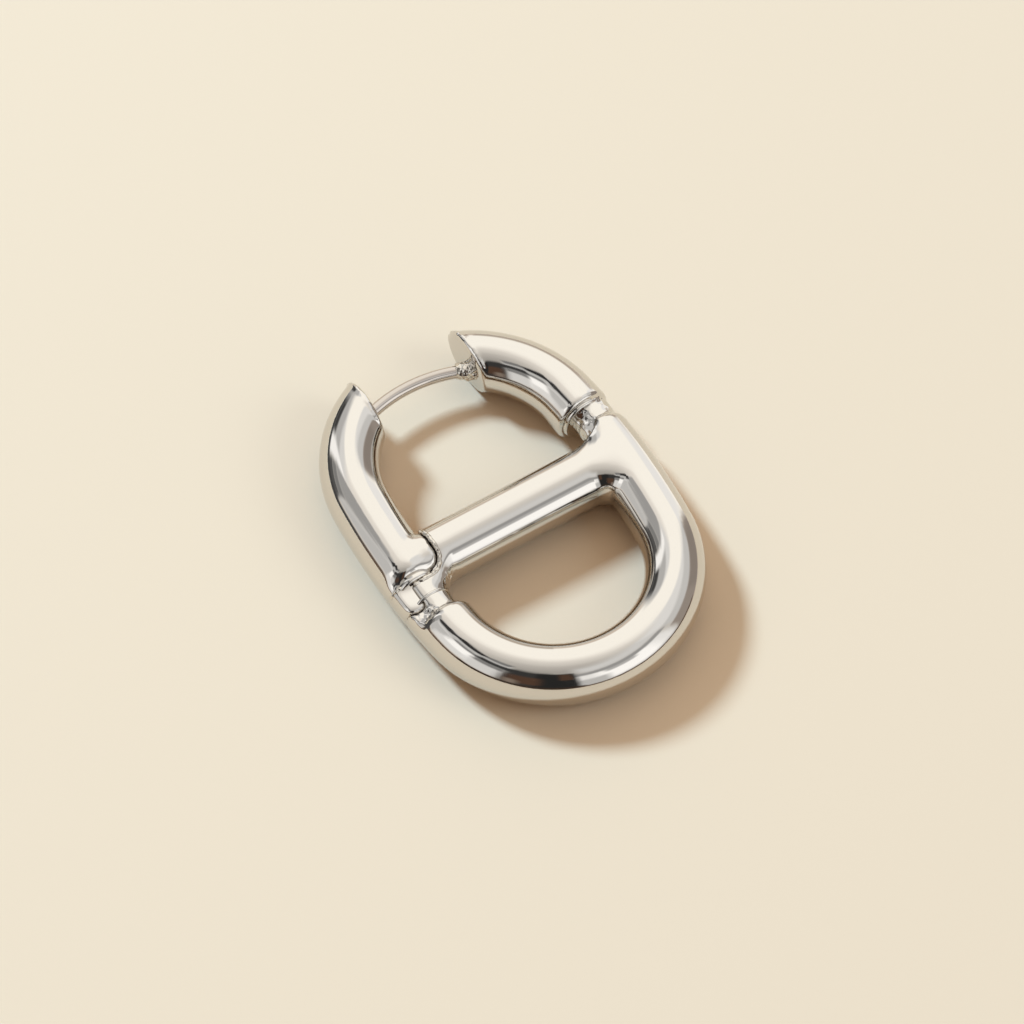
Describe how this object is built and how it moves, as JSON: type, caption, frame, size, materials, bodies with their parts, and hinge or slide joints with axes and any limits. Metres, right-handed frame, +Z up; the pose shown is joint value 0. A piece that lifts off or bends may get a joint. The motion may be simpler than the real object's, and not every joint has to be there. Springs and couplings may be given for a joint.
{
  "type": "chain link hoop earring",
  "caption": "Oval studded chain link earring of round polished rod with a crossbar, a curved ear wire and one arm that swings open on a pin hinge.",
  "frame": {"origin": "centre of the bounding box at the surface that the link lies on", "axes": "+X along the crossbar away from the hinged arm, +Y along the link toward the ear wire, +Z up"},
  "size_m": [0.018, 0.0256, 0.0035],
  "materials": {
    "polished_plate": "mirror-polished rhodium plate on a brass casting",
    "polished_plate_arm": "mirror-polished rhodium plate on a brass casting",
    "pin_steel": "drawn steel wire",
    "wire_plate": "polished rhodium-plated wire"
  },
  "bodies": {
    "link": {"link_frame": "polished_plate", "hinge_pin": "pin_steel", "ear_post": "wire_plate"},
    "arm": {"hinged_arm": "polished_plate_arm"}
  },
  "joints": [
    {"name": "arm_hinge", "type": "hinge", "parent": "link", "child": "arm", "pos_m": [-0.00808, -0.00185, 0.00147], "axis": [0, 0, 1], "range_deg": [0, 35]}
  ]
}
